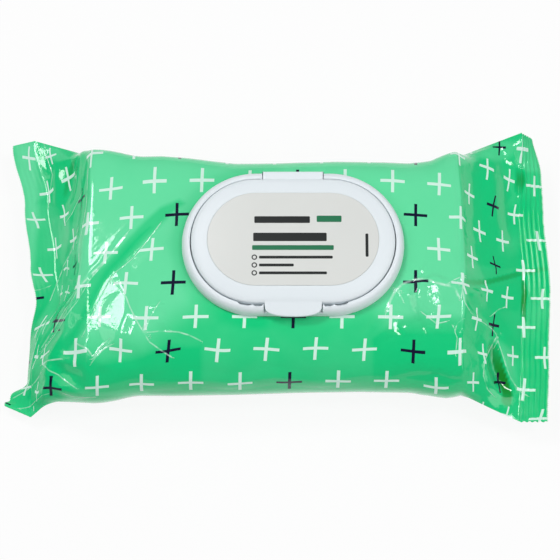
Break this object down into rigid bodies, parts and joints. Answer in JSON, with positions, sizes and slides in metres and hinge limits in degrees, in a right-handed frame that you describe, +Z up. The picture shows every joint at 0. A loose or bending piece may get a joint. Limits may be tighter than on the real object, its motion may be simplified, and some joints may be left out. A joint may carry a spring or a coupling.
{
  "type": "wet wipes pack",
  "caption": "Sealed pillow pouch of wet wipes in printed film with crimped end seals and a hinged moulded flip lid on top.",
  "frame": {"origin": "centre of the flat underside, below the middle of the block of wipes", "axes": "+X along the pouch towards its right-hand end seal, +Y from the thumb tab towards the lid's hinge, +Z up through the lid"},
  "size_m": [0.2648, 0.1452, 0.0547],
  "materials": {
    "printed_film": "glossy green film printed with white and navy plus signs",
    "white_plastic": "satin moulded polypropylene, bluish white",
    "label_film": "smooth pale grey label",
    "adhesive": "dried hot-melt adhesive",
    "peel_film": "glossy white sticker film"
  },
  "bodies": {
    "pack": {"film_pouch": "printed_film", "adhesive_ring": "adhesive", "peel_seal": "peel_film", "lid_base": "white_plastic"},
    "lid": {"lid_cover": "white_plastic", "lid_label": "label_film"}
  },
  "joints": [
    {"name": "lid_hinge", "type": "hinge", "parent": "pack", "child": "lid", "pos_m": [0.0086, 0.04435, 0.05155], "axis": [-1, 0, 0], "range_deg": [0, 165]}
  ]
}
